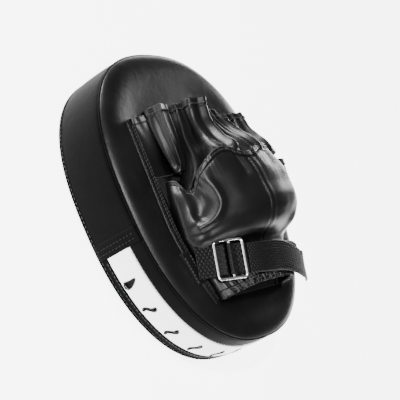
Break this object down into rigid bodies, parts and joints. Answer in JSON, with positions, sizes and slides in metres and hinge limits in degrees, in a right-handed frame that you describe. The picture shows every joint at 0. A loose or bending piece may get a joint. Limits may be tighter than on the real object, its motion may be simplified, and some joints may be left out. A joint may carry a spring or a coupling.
{
  "type": "focus mitt",
  "caption": "Padded hand-held punching target with finger, thumb and hand covers and a buckled wrist strap.",
  "frame": {"origin": "centre of the striking face, which is also the bottom centre of the whole mitt", "axes": "+Z out of the hand side, +Y to the fingertips, +X to the thumb side; the mitt lies on its striking face"},
  "size_m": [0.2018, 0.2522, 0.1055],
  "materials": {
    "striking_leather": "semi-matte smooth synthetic leather",
    "rim_leather": "semi-matte smooth synthetic leather",
    "back_leather": "semi-gloss smooth synthetic leather",
    "cover_leather": "glossy soft synthetic leather",
    "sleeve_leather": "glossy thin synthetic leather",
    "white_strip": "white smooth synthetic leather",
    "vent_mesh": "black mesh",
    "firm_foam": "closed-cell foam",
    "core_foam": "closed-cell foam",
    "soft_foam": "open-cell foam",
    "lining": "black lining cloth",
    "binding": "black binding",
    "elastic": "covered elastic",
    "webbing": "coarse black webbing",
    "hook": "hook tape",
    "loop": "loop tape",
    "chrome": "bright plated wire",
    "thread": "black thread"
  },
  "bodies": {
    "mitt": {"striking_face": "striking_leather", "front_welt": "rim_leather", "back_welt": "rim_leather", "rim_band": "rim_leather", "band_hems": "rim_leather", "rim_margin_front": "rim_leather", "rim_margin_back": "rim_leather", "vent_strip": "white_strip", "vent_backing": "vent_mesh", "front_foam": "firm_foam", "core_foam": "core_foam", "palm_foam": "soft_foam", "back_panel": "back_leather", "left_binding": "binding", "right_binding": "binding", "palm_lining": "lining", "finger_base": "sleeve_leather", "finger_sleeve_1": "sleeve_leather", "finger_sleeve_2": "sleeve_leather", "finger_sleeve_3": "sleeve_leather", "finger_sleeve_4": "sleeve_leather", "finger_sleeve_5": "sleeve_leather", "finger_hems": "sleeve_leather", "thumb_sleeve": "sleeve_leather", "thumb_hem": "sleeve_leather", "hand_cover_centre": "cover_leather", "hand_cover_right": "cover_leather", "knuckle_elastic": "elastic", "wrist_elastic": "elastic", "anchor_tab": "webbing", "anchor_web": "webbing", "right_strap_tab": "webbing", "wrist_strap": "webbing", "loop_patch": "loop", "side_stitches": "thread", "tab_stitches": "thread", "hem_stitches": "thread"},
    "buckle": {"buckle_frame": "chrome", "buckle_bar": "chrome", "strap_wrap": "webbing"},
    "tail": {"strap_tail": "webbing", "hook_patch": "hook"}
  },
  "joints": [
    {"name": "buckle_tilt", "type": "hinge", "parent": "mitt", "child": "buckle", "pos_m": [-0.04408, -0.06116, 0.06701], "axis": [-0.088, -0.9774, -0.1921], "range_deg": [0, 35]},
    {"name": "tail_peel", "type": "hinge", "parent": "buckle", "child": "tail", "pos_m": [-0.02148, -0.06637, 0.07929], "axis": [-0.088, -0.9774, -0.1921], "range_deg": [0, 75]}
  ]
}
